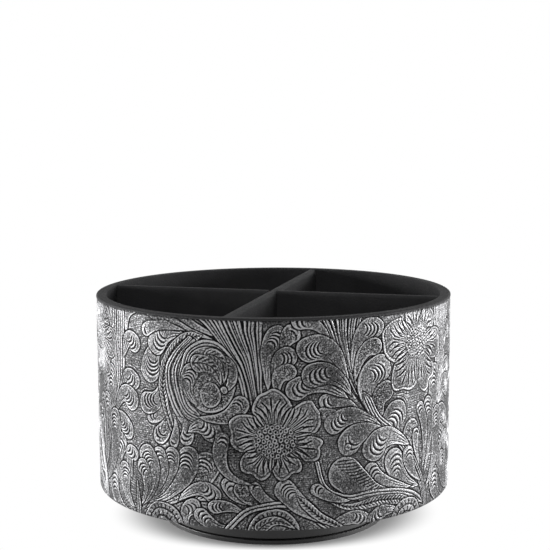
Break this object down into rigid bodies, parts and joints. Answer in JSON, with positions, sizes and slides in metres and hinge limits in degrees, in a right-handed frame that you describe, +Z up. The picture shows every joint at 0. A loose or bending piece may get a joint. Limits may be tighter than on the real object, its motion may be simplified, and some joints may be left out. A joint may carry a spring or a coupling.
{
  "type": "rotating remote control holder",
  "caption": "Round leatherette-covered desk holder with crossed dividers that form open compartments, turning on a low ball-bearing turntable base.",
  "frame": {"origin": "middle of the face that the holder stands on", "axes": "+Z up along the turning axis; the two dividers lie along X and Y"},
  "size_m": [0.16, 0.16, 0.1031],
  "materials": {
    "tooled_leatherette": "antiqued pewter over black, tooled in relief, semi-gloss",
    "black_leatherette": "fine grain, low sheen",
    "flannel": "short nap, matte",
    "greyboard": "rolled board, raw",
    "fibreboard": "raw",
    "black_plastic": "fine moulded texture",
    "natural_nylon": "smooth",
    "zinc_steel": "zinc plated",
    "ball_steel": "polished",
    "foam_rubber": "closed-cell, matte"
  },
  "bodies": {
    "base": {"anti_slip_pad": "foam_rubber", "turntable_foot": "black_plastic", "pivot_bolt": "zinc_steel", "pivot_washer": "zinc_steel", "pivot_lock_nut": "zinc_steel"},
    "cage": {"ball_cage": "natural_nylon", "bearing_balls": "ball_steel"},
    "holder": {"turntable_top": "black_plastic", "pivot_bush": "natural_nylon", "turntable_screws": "zinc_steel", "underside_cover": "black_leatherette", "floor_board": "fibreboard", "wall_core": "greyboard", "outer_skin": "tooled_leatherette", "inner_lining": "black_leatherette", "rim_binding": "black_leatherette", "floor_pads": "flannel", "divider_x_board": "fibreboard", "divider_x_cover": "black_leatherette", "divider_y_board": "fibreboard", "divider_y_cover": "black_leatherette"}
  },
  "joints": [
    {"name": "turn", "type": "hinge", "parent": "base", "child": "holder", "pos_m": [0, 0, 0.0057], "axis": [0, 0, 1], "continuous": true},
    {"name": "cage_turn", "type": "hinge", "parent": "base", "child": "cage", "pos_m": [0, 0, 0.0057], "axis": [0, 0, 1], "continuous": true}
  ],
  "couplings": [
    {"joint": "cage_turn", "follows": "turn", "ratio": 0.5}
  ]
}
